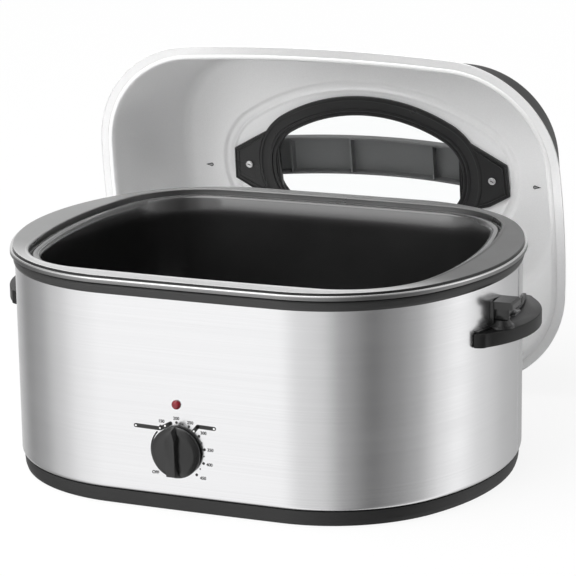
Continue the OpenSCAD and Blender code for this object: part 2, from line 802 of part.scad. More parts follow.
module window_ring() {
    z = roof_out + fit_gap / 2;
    color(black) stood_up() difference() {
        ring(pane_plan, 8 - frame_w, 0, z, ring_t);
        translate([0, 0, z - overcut]) linear_extrude(glass_t / 2 + gasket_t + overcut)
            plan(pane_plan, -pane_hole);
    }
}

// Bridge over the window, open and ribbed underneath, on a round pad at each end
module lid_handle() {
    pad_r = screw_x - pane_a - frame_w + 8 - fit_gap;
    rib_pitch = 45;
    pad_t = 9;
    span = screw_x + 12;
    rise = grip_rise - grip_t;
    arch_r = (span * span + rise * rise) / (2 * rise);
    skin = 3;
    foot = roof_out + fit_gap / 2;
    color(black) stood_up() translate([0, 0, foot]) difference() {
        union() {
            at_lid_screws() cylinder(r = pad_r, h = pad_t);
            rotate([90, 0, 0]) translate([0, 0, -grip_d / 2]) linear_extrude(grip_d)
                arch(arch_r, rise, span, 0);
        }
        difference() {
            rotate([90, 0, 0]) translate([0, 0, skin - grip_d / 2]) linear_extrude(grip_d - 2 * skin)
                arch(arch_r, rise, span - 40, skin);
            for (k = [-2:2]) box([k * rib_pitch - 1.3, -grip_d, 0],
                                 [k * rib_pitch + 1.3, grip_d, grip_rise + 2]);
        }
        at_lid_screws() translate([0, 0, -overcut]) cylinder(r = screw_r + 0.1, h = pad_t - 2);
    }
}

// Side view of the bridge: two arcs struck from one centre, cut off at the pads
module arch(r, rise, span, skin) {
    intersection() {
        difference() {
            translate([0, rise - r]) circle(r + grip_t - skin);
            if (skin == 0) translate([0, rise - r]) circle(r);
            if (skin > 0) translate([0, rise - r]) circle(r - 1);
        }
        translate([-span, 0]) square([2 * span, grip_rise + 1]);
    }
}

module lid_handle_screws() {
    head = roof - fit_gap / 2 - frame_t + 1.6;
    head_t = 2.4;
    shank = frame_t + lid_t + 4;
    color([0.78, 0.78, 0.8]) stood_up() at_lid_screws() translate([0, 0, head]) {
        cylinder(r = screw_r, h = shank);
        translate([0, 0, 0.2 - head_t]) cylinder(r = 2.5 * screw_r, h = head_t);
    }
}

base_ring();
bottom_plate();
rubber_feet();
foot_screws();
outer_casing();
trim_band();
cook_well();
heater_band();
wall_insulation();
floor_insulation();
heat_shield();
thermostat_body();
thermostat_nut();
indicator_lens();
indicator_lamp();
terminal_block();
wiring_harness();
cord_gland();
handle_right();
handle_left();
lid_rest_right();
lid_rest_left();
handle_screws();
roasting_pan();
knob();
thermostat_shaft();
knob_clip();
lid_shell();
window_gasket();
window_glass();
window_frame();
window_ring();
lid_handle();
lid_handle_screws();
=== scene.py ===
import math

import bmesh
import bpy
from mathutils import Matrix, Vector


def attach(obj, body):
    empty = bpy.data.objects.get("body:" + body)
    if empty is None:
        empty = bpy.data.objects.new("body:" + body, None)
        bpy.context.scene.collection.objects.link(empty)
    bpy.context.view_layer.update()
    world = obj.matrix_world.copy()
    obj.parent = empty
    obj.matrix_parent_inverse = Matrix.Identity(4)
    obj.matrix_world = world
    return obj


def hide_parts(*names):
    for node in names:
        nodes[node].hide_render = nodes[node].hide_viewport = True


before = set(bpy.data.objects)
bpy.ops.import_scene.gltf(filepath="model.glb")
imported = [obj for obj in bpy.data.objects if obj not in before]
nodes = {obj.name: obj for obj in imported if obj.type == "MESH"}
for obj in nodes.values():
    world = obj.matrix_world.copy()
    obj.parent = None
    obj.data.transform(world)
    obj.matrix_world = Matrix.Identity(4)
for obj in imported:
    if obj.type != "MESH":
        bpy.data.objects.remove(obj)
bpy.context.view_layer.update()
mm = 0.001
print("frame loaded,", len(nodes), "nodes")

# outlines and shared shaping

bodyPlan = {"halfWidth": 280, "halfDepth": 222, "sideR": 7000, "endR": 273, "cornerR": 170,
            "steps": (20, 26, 10)}
lidPlan = {"halfWidth": 291, "halfDepth": 210, "sideR": 2300, "endR": 1180, "cornerR": 136,
           "steps": (10, 26, 14)}
panePlan = {"halfWidth": 122, "halfDepth": 74, "sideR": 190, "endR": 80, "cornerR": 50,
            "steps": (8, 22, 26)}
wellPlan = {"halfWidth": 240, "halfDepth": 199, "sideR": 3000, "endR": 520, "cornerR": 100,
            "steps": bodyPlan["steps"]}
domePlan = {"halfWidth": 249, "halfDepth": 158, "sideR": 2248, "endR": 1138, "cornerR": 112,
            "steps": lidPlan["steps"]}
lidPose = {"x": -36, "y": 265, "lean": 10.3, "halfDepth": 210, "screwX": 159}


def arcsOf(plan):  # eight tangent arcs: centre, radius, start angle, sweep
    a, b = plan["halfWidth"], plan["halfDepth"]
    side, end, corner = plan["sideR"], plan["endR"], plan["cornerR"]
    start, goal = Vector((0, b - side)), Vector((a - end, 0))
    gap = (goal - start).length
    unit = (goal - start) / gap
    along = ((side - corner) ** 2 - (end - corner) ** 2 + gap * gap) / (2 * gap)
    across = math.sqrt((side - corner) ** 2 - along * along)
    c = start + unit * along + Vector((unit.y, -unit.x)) * across
    e = math.atan2(c.y, c.x - a + end)
    s = math.atan2(c.y - b + side, c.x)
    nEnd, nCorner, nSide = plan["steps"]
    return [((a - end, 0), end, -e, 2 * e, nEnd), ((c.x, c.y), corner, e, s - e, nCorner),
            ((0, b - side), side, s, math.pi - 2 * s, nSide),
            ((-c.x, c.y), corner, math.pi - s, s - e, nCorner),
            ((end - a, 0), end, math.pi - e, 2 * e, nEnd),
            ((-c.x, -c.y), corner, math.pi + e, s - e, nCorner),
            ((0, side - b), side, math.pi + s, math.pi - 2 * s, nSide),
            ((c.x, -c.y), corner, 2 * math.pi - s, s - e, nCorner)]


def soften(points, closed=False):  # rounds each corner that has a third value, its radius
    out = []
    count = len(points)
    for i, p in enumerate(points):
        here = Vector(p[:2])
        radius = p[2] if len(p) > 2 else 0
        if radius == 0 or (not closed and i in (0, count - 1)):
            out.append(here)
            continue
        back = (Vector(points[i - 1][:2]) - here).normalized()
        on = (Vector(points[(i + 1) % count][:2]) - here).normalized()
        half = back.angle(on) / 2
        reach = radius / math.tan(half)
        hub = here + (back + on).normalized() * (radius / math.sin(half))
        first, last = here + back * reach - hub, here + on * reach - hub
        turn = first.angle_signed(last)
        steps = max(2, int(abs(math.degrees(turn)) / 14))
        for k in range(steps + 1):
            out.append(hub + Matrix.Rotation(-turn * k / steps, 2) @ first)
    return out


def sweepRound(bm, plan, profile, closed=True, lift=0):  # spins a profile round the eight arcs
    arcs = arcsOf(plan)
    centre, radius, start = arcs[0][0], arcs[0][1], arcs[0][2]
    out = Vector((math.cos(start), math.sin(start)))
    edge = Vector(centre) + out * radius
    ring = [bm.verts.new(((edge.x + out.x * p.x) * mm, (edge.y + out.y * p.x) * mm, (p.y + lift) * mm))
            for p in profile]
    pairs = list(zip(ring, ring[1:])) + ([(ring[-1], ring[0])] if closed else [])
    line = [bm.edges.new(pair) for pair in pairs]
    for (cx, cy), _, _, sweep, steps in arcs:
        result = bmesh.ops.spin(bm, geom=line + ring, cent=(cx * mm, cy * mm, 0), axis=(0, 0, 1),
                                dvec=(0, 0, 0), angle=sweep, steps=steps, use_merge=False,
                                use_duplicate=False)
        line = [g for g in result["geom_last"] if isinstance(g, bmesh.types.BMEdge)]
        ring = [g for g in result["geom_last"] if isinstance(g, bmesh.types.BMVert)]
    bmesh.ops.remove_doubles(bm, verts=bm.verts, dist=0.00002)


def closeEnds(bm):  # fills the open loops of a swept shell
    loose = [e for e in bm.edges if e.is_boundary]
    bmesh.ops.holes_fill(bm, edges=loose, sides=0)


def openAt(bm, level):  # open edges at one height
    return [e for e in bm.edges
            if e.is_boundary and all(abs(v.co.z - level * mm) < 0.00001 for v in e.verts)]


def joinAt(bm, first, second):  # bridges the two open loops at these heights
    bmesh.ops.bridge_loops(bm, edges=openAt(bm, first) + openAt(bm, second))


def fillFlat(bm, level):  # fills the flat between two open loops at one height
    bmesh.ops.triangle_fill(bm, edges=openAt(bm, level), use_beauty=True, use_dissolve=False,
                            normal=(0, 0, 1))


def standUp():  # from the lid's own frame to where it stands behind the body
    lean = math.radians(lidPose["lean"])
    place = (lidPose["x"] * mm, lidPose["y"] * mm, lidPose["halfDepth"] * math.cos(lean) * mm)
    return Matrix.Translation(place) @ Matrix.Rotation(lean - math.pi / 2, 4, "X")


def keep(bm, name, material, body, stands=(), smooth=32, lid=False, turn=None):
    bmesh.ops.remove_doubles(bm, verts=bm.verts, dist=0.00001)
    bmesh.ops.recalc_face_normals(bm, faces=bm.faces)
    if turn is not None:
        bmesh.ops.transform(bm, matrix=turn, verts=bm.verts)
    if lid:
        bmesh.ops.transform(bm, matrix=standUp(), verts=bm.verts)
    mesh = bpy.data.meshes.new(name)
    bm.to_mesh(mesh)
    bm.free()
    mesh.shade_smooth()
    mesh.set_sharp_from_angle(angle=math.radians(smooth))
    piece = bpy.data.objects.new(name, mesh)
    bpy.context.scene.collection.objects.link(piece)
    mesh.materials.append(material)
    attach(piece, body)
    if stands:
        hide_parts(*stands)
    return piece


def prism(bm, outline, low, high):  # flat outline in mm, extruded from low to high
    base = bm.faces.new([bm.verts.new((x * mm, y * mm, low * mm)) for x, y in outline])
    result = bmesh.ops.extrude_face_region(bm, geom=[base], use_keep_orig=True)
    top = [g for g in result["geom"] if isinstance(g, bmesh.types.BMVert)]
    bmesh.ops.translate(bm, verts=top, vec=(0, 0, (high - low) * mm))
    return [g for g in result["geom"] if isinstance(g, bmesh.types.BMFace)][0]


def block(bm, low, high, bevel=0):
    size = [(h - l) * mm for l, h in zip(low, high)]
    centre = [(h + l) / 2 * mm for l, h in zip(low, high)]
    place = Matrix.Translation(centre) @ Matrix.Diagonal((*size, 1))
    cube = bmesh.ops.create_cube(bm, size=1, matrix=place)
    if bevel:
        edges = {e for v in cube["verts"] for e in v.link_edges}
        bmesh.ops.bevel(bm, geom=list(edges), offset=bevel * mm, offset_type="OFFSET", segments=3,
                        profile=0.5, material=-1, affect="EDGES")
    return cube


def disc(bm, centre, radius, low, high, sides=32, taper=1.0):
    place = Matrix.Translation((centre[0] * mm, centre[1] * mm, (low + high) / 2 * mm))
    return bmesh.ops.create_cone(bm, cap_ends=True, segments=sides, radius1=radius * mm,
                                 radius2=radius * taper * mm, depth=(high - low) * mm, matrix=place)


def roundOff(bm, offset, angle=40, segments=3):  # bevels every edge sharper than angle
    sharp = [e for e in bm.edges if e.is_manifold and e.calc_face_angle(0) > math.radians(angle)]
    bmesh.ops.bevel(bm, geom=sharp, offset=offset * mm, offset_type="OFFSET", segments=segments,
                    profile=0.5, material=-1, affect="EDGES", clamp_overlap=True)


# finishes


def newMaterial(name):
    material = bpy.data.materials.new(name)
    material.use_nodes = True
    tree = material.node_tree
    shader = tree.nodes["Principled BSDF"]
    place = tree.nodes.new("ShaderNodeTexCoord")
    return material, tree, shader, place


def grain(tree, place, scale, detail=3.0):
    turn = tree.nodes.new("ShaderNodeMapping")
    turn.inputs["Scale"].default_value = scale
    noise = tree.nodes.new("ShaderNodeTexNoise")
    noise.inputs["Scale"].default_value = 1.0
    noise.inputs["Detail"].default_value = detail
    tree.links.new(place.outputs["Object"], turn.inputs["Vector"])
    tree.links.new(turn.outputs["Vector"], noise.inputs["Vector"])
    return noise.outputs["Fac"]


def spread(tree, source, low, high):
    ramp = tree.nodes.new("ShaderNodeMapRange")
    ramp.inputs["From Min"].default_value = 0.3
    ramp.inputs["From Max"].default_value = 0.7
    ramp.inputs["To Min"].default_value = low
    ramp.inputs["To Max"].default_value = high
    tree.links.new(source, ramp.inputs["Value"])
    return ramp.outputs["Result"]


def tint(tree, source, dark, light):
    ramp = tree.nodes.new("ShaderNodeValToRGB")
    ramp.color_ramp.elements[0].position = 0.3
    ramp.color_ramp.elements[0].color = (*dark, 1)
    ramp.color_ramp.elements[1].position = 0.7
    ramp.color_ramp.elements[1].color = (*light, 1)
    tree.links.new(source, ramp.inputs["Fac"])
    return ramp.outputs["Color"]


def dent(tree, shader, source, strength, distance):
    bump = tree.nodes.new("ShaderNodeBump")
    bump.inputs["Strength"].default_value = strength
    bump.inputs["Distance"].default_value = distance
    tree.links.new(source, bump.inputs["Height"])
    tree.links.new(bump.outputs["Normal"], shader.inputs["Normal"])


def surface(name, look):  # one procedural finish: grain in colour, roughness and bump
    material, tree, shader, place = newMaterial(name)
    fine = grain(tree, place, look["grainScale"], 4.0)
    broad = grain(tree, place, look["cloudScale"], 2.0)
    tree.links.new(tint(tree, fine, look["dark"], look["light"]), shader.inputs["Base Color"])
    tree.links.new(spread(tree, broad, *look["rough"]), shader.inputs["Roughness"])
    dent(tree, shader, fine, look["bump"], look["bumpDepth"])
    shader.inputs["Metallic"].default_value = look.get("metallic", 0.0)
    shader.inputs["Specular IOR Level"].default_value = look.get("specular", 0.5)
    shader.inputs["Coat Weight"].default_value = look.get("coat", 0.0)
    shader.inputs["Coat Roughness"].default_value = look.get("coatRough", 0.05)
    shader.inputs["Coat IOR"].default_value = look.get("coatIndex", 1.5)
    return material


def even(k):
    return (k, k, k)


finishes = {
    "casingSteel": {"dark": (0.9, 0.9, 0.91), "light": (0.94, 0.94, 0.95), "metallic": 1.0,
                    "grainScale": (3, 3, 1400), "cloudScale": (3, 3, 60), "rough": (0.2, 0.26),
                    "bump": 0.03, "bumpDepth": 0.0002},
    "rimSteel": {"dark": even(0.25), "light": even(0.29), "metallic": 1.0,
                 "grainScale": even(900), "cloudScale": even(12), "rough": (0.26, 0.34),
                 "bump": 0.05, "bumpDepth": 0.0001},
    # a lighter copy of the rim steel, a painted highlight along the rolled bead
    "beadSteelPaintedHighlight": {"dark": even(0.88), "light": even(0.92), "metallic": 1.0, "grainScale": even(900),
                  "cloudScale": even(12), "rough": (0.16, 0.24), "bump": 0.03, "bumpDepth": 0.0001},
    "lidSteel": {"dark": even(0.82), "light": even(0.86), "metallic": 0.3,
                 "grainScale": even(700), "cloudScale": even(9), "rough": (0.34, 0.42),
                 "bump": 0.04, "bumpDepth": 0.0001},
    "lidEnamel": {"dark": even(0.006), "light": even(0.009), "grainScale": even(800),
                  "cloudScale": even(10), "rough": (0.3, 0.38), "bump": 0.03, "specular": 0.2,
                  "bumpDepth": 0.0001},
    "panEnamel": {"dark": even(0.006), "light": even(0.01), "grainScale": even(1200),
                  "cloudScale": even(12), "rough": (0.2, 0.27), "bump": 0.05, "bumpDepth": 0.0001,
                  "specular": 0.9, "coat": 1.0, "coatRough": 0.14, "coatIndex": 1.9},
    "trimDark": {"dark": even(0.022), "light": even(0.028), "grainScale": even(1500),
                 "cloudScale": even(14), "rough": (0.28, 0.36), "bump": 0.05,
                 "bumpDepth": 0.0001},
    "baseDark": {"dark": even(0.01), "light": even(0.014), "grainScale": even(1500),
                 "cloudScale": even(14), "rough": (0.42, 0.5), "bump": 0.06,
                 "bumpDepth": 0.0001},
    # black plastic; also put in the rim's groove as painted shade
    "blackPlasticAndPaintedShade": {"dark": even(0.007), "light": even(0.01), "grainScale": even(1600),
                     "cloudScale": even(16), "rough": (0.26, 0.34), "bump": 0.06,
                     "bumpDepth": 0.0001},
    "gripGrey": {"dark": even(0.15), "light": even(0.17), "grainScale": even(1400),
                 "cloudScale": even(14), "rough": (0.32, 0.4), "bump": 0.06, "bumpDepth": 0.0001},
    "handleBlack": {"dark": even(0.008), "light": even(0.012), "grainScale": even(1600),
                    "cloudScale": even(16), "rough": (0.3, 0.38), "bump": 0.06, "bumpDepth": 0.0001,
                    "specular": 0.3},
    "knobBlack": {"dark": even(0.009), "light": even(0.012), "grainScale": even(1600),
                  "cloudScale": even(20), "rough": (0.2, 0.27), "bump": 0.03,
                  "bumpDepth": 0.0001, "coat": 0.3},
    "brightScrew": {"dark": even(0.62), "light": even(0.75), "metallic": 1.0,
                    "grainScale": even(900), "cloudScale": even(60), "rough": (0.14, 0.22),
                    "bump": 0.04, "bumpDepth": 0.0001},
    "zincSheet": {"dark": even(0.5), "light": even(0.6), "metallic": 1.0, "grainScale": even(300),
                  "cloudScale": even(20), "rough": (0.34, 0.46), "bump": 0.05, "bumpDepth": 0.0002},
    "footRubber": {"dark": even(0.02), "light": even(0.03), "grainScale": even(900),
                   "cloudScale": even(30), "rough": (0.7, 0.8), "bump": 0.15, "bumpDepth": 0.0002},
    "glassWool": {"dark": (0.62, 0.58, 0.45), "light": (0.78, 0.74, 0.6), "grainScale": even(400),
                  "cloudScale": even(30), "rough": (0.85, 0.95), "bump": 0.6, "bumpDepth": 0.001},
    "heaterRibbon": {"dark": (0.45, 0.4, 0.3), "light": (0.62, 0.57, 0.45),
                     "grainScale": (200, 200, 900), "cloudScale": even(30), "rough": (0.7, 0.85),
                     "bump": 0.3, "bumpDepth": 0.0005},
    "shieldFoil": {"dark": even(0.6), "light": even(0.72), "metallic": 1.0, "grainScale": even(200),
                   "cloudScale": even(15), "rough": (0.3, 0.42), "bump": 0.1, "bumpDepth": 0.0004},
    "paleCeramic": {"dark": (0.72, 0.7, 0.62), "light": (0.8, 0.78, 0.7), "grainScale": even(700),
                    "cloudScale": even(30), "rough": (0.5, 0.62), "bump": 0.1, "bumpDepth": 0.0002},
    "leadSleeve": {"dark": (0.2, 0.06, 0.04), "light": (0.28, 0.09, 0.06), "grainScale": even(900),
                   "cloudScale": even(30), "rough": (0.4, 0.5), "bump": 0.1, "bumpDepth": 0.0002},
    "greyGasket": {"dark": even(0.24), "light": even(0.3), "grainScale": even(900),
                   "cloudScale": even(30), "rough": (0.6, 0.7), "bump": 0.1, "bumpDepth": 0.0002},
    # black print; also laid on the lid screw heads as painted shade for their slots
    "printAndPaintedShadeBlack": {"dark": even(0.012), "light": even(0.02), "grainScale": even(900),
                   "cloudScale": even(30), "rough": (0.45, 0.55), "bump": 0.02, "bumpDepth": 0.0001},
    "printPale": {"dark": even(0.7), "light": even(0.78), "grainScale": even(900),
                  "cloudScale": even(30), "rough": (0.45, 0.55), "bump": 0.02, "bumpDepth": 0.0001},
}
made = {name: surface(name, look) for name, look in finishes.items()}

# satin flange with a painted reflection: its colour is painted brightest along the front and duller toward
# the right end
flangeLook = {"reach": 0.27, "left": 0.29, "right": 0.14, "frontY": -0.2, "sideY": -0.1, "front": 0.6,
              "rough": (0.34, 0.42), "metallic": 0.25}
flangeMaterial, tree, shader, place = newMaterial("flangePaintedSheen")
axes = tree.nodes.new("ShaderNodeSeparateXYZ")
tree.links.new(place.outputs["Object"], axes.inputs["Vector"])


def fade(tree, source, start, stop, first, last):
    ramp = tree.nodes.new("ShaderNodeMapRange")
    ramp.interpolation_type = "SMOOTHSTEP"
    for socket, value in zip(("From Min", "From Max", "To Min", "To Max"), (start, stop, first, last)):
        ramp.inputs[socket].default_value = value
    tree.links.new(source, ramp.inputs["Value"])
    return ramp.outputs["Result"]


# painted reflection: the flange colour fades from the left end to the darker right end, and is lifted along
# the front
paintedEndSheen = fade(tree, axes.outputs["X"], -flangeLook["reach"], flangeLook["reach"], flangeLook["left"],
               flangeLook["right"])
paintedFrontSheen = fade(tree, axes.outputs["Y"], flangeLook["frontY"], flangeLook["sideY"], 1.0, 0.0)
paintedSheen = tree.nodes.new("ShaderNodeMix")
paintedSheen.inputs[3].default_value = flangeLook["front"]
tree.links.new(paintedFrontSheen, paintedSheen.inputs[0])
tree.links.new(paintedEndSheen, paintedSheen.inputs[2])
speck = tree.nodes.new("ShaderNodeMath")
speck.operation = "MULTIPLY"
tree.links.new(paintedSheen.outputs[0], speck.inputs[0])
tree.links.new(spread(tree, grain(tree, place, even(900)), 0.97, 1.03), speck.inputs[1])
tree.links.new(speck.outputs["Value"], shader.inputs["Base Color"])
tree.links.new(spread(tree, grain(tree, place, even(14)), *flangeLook["rough"]),
               shader.inputs["Roughness"])
shader.inputs["Metallic"].default_value = flangeLook["metallic"]

# clear window glass: thin, so it bends nothing
glassMaterial, tree, shader, place = newMaterial("windowGlass")
shader.inputs["Base Color"].default_value = (0.97, 0.98, 0.98, 1)
shader.inputs["Transmission Weight"].default_value = 1.0
shader.inputs["IOR"].default_value = 1.02
shader.inputs["Specular IOR Level"].default_value = 0.5
tree.links.new(spread(tree, grain(tree, place, even(12)), 0.0, 0.02), shader.inputs["Roughness"])

# dark red lamp lens
lensMaterial, tree, shader, place = newMaterial("lampRed")
tree.links.new(tint(tree, grain(tree, place, even(220)), (0.09, 0.002, 0.006), (0.2, 0.005, 0.012)),
               shader.inputs["Base Color"])
tree.links.new(spread(tree, grain(tree, place, even(60)), 0.06, 0.14), shader.inputs["Roughness"])
shader.inputs["Coat Weight"].default_value = 0.6
print("finishes ready,", len(made) + 3)

# steel casing

casing = {"set": 5, "sheet": 1, "foot": 17, "footR": 6, "top": 228, "flange": 12}


def makeCasing():
    c = casing
    outer, inner = -c["set"], -c["set"] - c["sheet"]
    foot = c["foot"]
    profile = soften([(outer - c["footR"] - c["flange"], foot), (outer, foot, c["footR"]),
                      (outer, c["top"]), (inner, c["top"]),
                      (inner, foot + c["sheet"], c["footR"] - c["sheet"]),
                      (outer - c["footR"] - c["flange"], foot + c["sheet"])], closed=True)
    bm = bmesh.new()
    sweepRound(bm, bodyPlan, profile)
    return keep(bm, "steelCasing", made["casingSteel"], "root", ["outer_casing"])


makeCasing()

# the lapped end seam, a folded strip up each short end a little behind the middle
seam = {"y": 30, "width": 7, "proud": 0.35, "sunk": 0.2, "foot": 24, "top": 227}


def makeSeam(side):
    s = seam
    radius = bodyPlan["endR"] - casing["set"]
    bm = bmesh.new()
    low = math.asin(s["y"] / radius)
    high = math.asin((s["y"] + s["width"]) / radius)
    hub = bodyPlan["halfWidth"] - bodyPlan["endR"]
    line = []
    for r, z in ((radius - s["sunk"], s["foot"]), (radius + s["proud"], s["foot"]),
                 (radius + s["proud"], s["top"]), (radius - s["sunk"], s["top"])):
        line.append(bm.verts.new(((hub + r * math.cos(low)) * mm, r * math.sin(low) * mm, z * mm)))
    face = bm.faces.new(line)
    bmesh.ops.spin(bm, geom=[face] + list(face.edges) + line, cent=(hub * mm, 0, 0), axis=(0, 0, 1),
                   dvec=(0, 0, 0), angle=high - low, steps=4, use_merge=False, use_duplicate=False)
    if side < 0:
        bmesh.ops.mirror(bm, geom=bm.verts[:] + bm.edges[:] + bm.faces[:], axis="X", merge_dist=0)
        bmesh.ops.delete(bm, geom=[v for v in bm.verts if v.co.x > 0], context="VERTS")
    return keep(bm, "casingSeam" + ("Left" if side < 0 else "Right"), made["casingSteel"], "root")


for side in (-1, 1):
    makeSeam(side)
print("casing made")

# rim, well and trim band

rim = {"top": 248, "bandTop": 238, "ledge": 238.8, "ledgeW": 11, "floor": 44, "sheet": 1.2,
       "lipIn": 10, "flangeDrop": 0.6, "lipDrop": 5.5}


def makeRim():
    r = rim
    top, t = r["top"], r["sheet"]
    wall = -r["ledgeW"]
    flat, lip = top - r["flangeDrop"], top - r["lipDrop"]
    foot = r["bandTop"] + 1.6
    outside = soften([(wall - 20, r["floor"]), (wall + t, r["floor"], 8), (wall + t, r["ledge"] - t),
                      (t, r["ledge"] - t), (t, lip)])
    inside = soften([(4.8, flat), (3.8, flat, 0.3), (2.8, top, 0.8), (0, top - 0.2, 1.4),
                     (0, r["ledge"] + 1.6, 0.7), (-1.5, r["ledge"] + 1.6, 0.6), (-2.2, r["ledge"], 0.3),
                     (wall, r["ledge"], 1), (wall, r["floor"] + t, 7), (wall - 20, r["floor"] + t)])
    skirt = soften([(-7, flat), (-3.6, flat, 0.4), (-3.7, top - 3.4, 0.2), (-1.7, top - 3.0, 0.5),
                    (-0.5, top - 3.4, 0.6), (-0.3, top - 4.6, 0.5), (0, top - 6, 1),
                    (0, foot + 0.2, 0.6), (-1.6, foot, 0.4), (-r["lipIn"], foot), (-r["lipIn"], lip)])
    bm = bmesh.new()
    sweepRound(bm, wellPlan, outside, closed=False)
    sweepRound(bm, wellPlan, inside, closed=False)
    sweepRound(bm, bodyPlan, skirt, closed=False)
    fillFlat(bm, lip)
    fillFlat(bm, flat)
    closeEnds(bm)
    piece = keep(bm, "rimAndWell", made["rimSteel"], "root", ["cook_well"], smooth=40)
    for finish in (flangeMaterial, made["beadSteelPaintedHighlight"], made["blackPlasticAndPaintedShade"]):
        piece.data.materials.append(finish)
    for face in piece.data.polygons:  # 1 satin flange with its painted sheen, 2 bead in lighter steel as a painted highlight, 3 groove beside the bead in black as painted shade
        x, y, z = (k / mm for k in face.center)
        if z > top - 1.6 and face.normal.z > 0.35:
            face.material_index = 1
        # groove faces take the black finish as painted shade in the gap beside the bead
        elif top - 3.5 < z < top - 0.7 and 2.9 < insideBy(x, y) < 4.4:
            face.material_index = 3
        # bead faces take the lighter bead steel, a painted highlight
        elif z > top - 4.4 and insideBy(x, y) < 3:
            face.material_index = 2
    return piece


def insideBy(x, y):  # how far a point lies inside the body's outline
    best = 1000
    for (cx, cy), radius, start, sweep, _ in arcsOf(bodyPlan):
        angle = math.atan2(y - cy, x - cx) % (2 * math.pi)
        if (angle - start) % (2 * math.pi) <= sweep + 0.001:
            best = min(best, radius - math.hypot(x - cx, y - cy))
    return best


makeRim()

band = {"set": 3.2, "foot": 228, "top": 237.9, "wall": 5, "key": 6, "keySet": 6.6}


def makeBand():
    b = band
    out, back = -b["set"], -b["set"] - b["wall"]
    profile = soften([
        (out - 1.4, b["foot"] + 0.2, 0.5), (out - 0.3, b["foot"] + 3, 2), (out, b["top"] - 2.4, 1),
        (out - 1.2, b["top"], 0.6),
        (back, b["top"]), (back, b["foot"] - b["key"]), (-b["keySet"], b["foot"] - b["key"]),
        (-b["keySet"], b["foot"] + 0.2)], closed=True)
    bm = bmesh.new()
    sweepRound(bm, bodyPlan, profile)
    return keep(bm, "trimBand", made["trimDark"], "root", ["trim_band"], smooth=40)


makeBand()

base = {"set": 7.5, "wall": 3, "foot": 1.2, "top": 17, "lip": 14, "plate": 4}


def makeBase():
    b = base
    out, back = -b["set"], -b["set"] - b["wall"]
    profile = soften([
        (out - 2.2, b["foot"], 1.0), (out - 0.6, b["foot"] + 5, 4), (out, b["top"] - 4, 4),
        (out, b["top"], 0.4), (back - b["lip"] / 2, b["top"]), (back - b["lip"] / 2, b["top"] - 3),
        (back, b["top"] - 3, 0.5), (back, b["plate"], 0.5), (back - b["lip"], b["plate"]),
        (back - b["lip"], b["foot"])], closed=True)
    bm = bmesh.new()
    sweepRound(bm, bodyPlan, profile)
    return keep(bm, "baseRing", made["baseDark"], "root", ["base_ring"], smooth=40)


makeBase()
print("rim, band and base made")

# roasting pan

pan = {"set": 14.5, "sheet": 1.4, "top": 242.7, "floor": 62.7, "footR": 7, "rollX": -5.3,
       "rollZ": 240.9, "rollR": 1.8, "flareZ": 222, "flare": 3.1}


def makePan():
    p = pan
    wall, t, top, floor = -p["set"], p["sheet"], p["top"], p["floor"]
    roll = [Vector((p["rollX"] + p["rollR"] * math.cos(math.radians(k)),
                    p["rollZ"] + p["rollR"] * math.sin(math.radians(k)))) for k in range(-120, 91, 15)]
    low = soften([(wall - 30, floor), (wall, floor, p["footR"]), (wall, p["flareZ"], 60),
                  (wall + p["flare"] - 0.2, top - t - 0.6, 3), (p["rollX"] - 1.2, top - t)])
    high = soften([(p["rollX"] - 0.8, top), (wall - t + p["flare"] + 0.2, top - 0.9, 6),
                   (wall - t, p["flareZ"], 60), (wall - t, floor + t, p["footR"] - t),
                   (wall - 30, floor + t)])
    bm = bmesh.new()
    sweepRound(bm, wellPlan, low + roll + high, closed=False)
    closeEnds(bm)
    return keep(bm, "roastingPan", made["panEnamel"], "pan", ["roasting_pan"], smooth=40)


makePan()
print("pan made")

# lid

lid = {"sheet": 1.2, "flange": 11, "wallSet": 18, "dome": 145, "roof": 148, "shoulderR": 18,
       "slope": 0.24, "low": 108}
embossPlan = {"halfWidth": 194, "halfDepth": 118, "sideR": 285, "endR": 128, "cornerR": 82.5,
              "steps": lidPlan["steps"]}


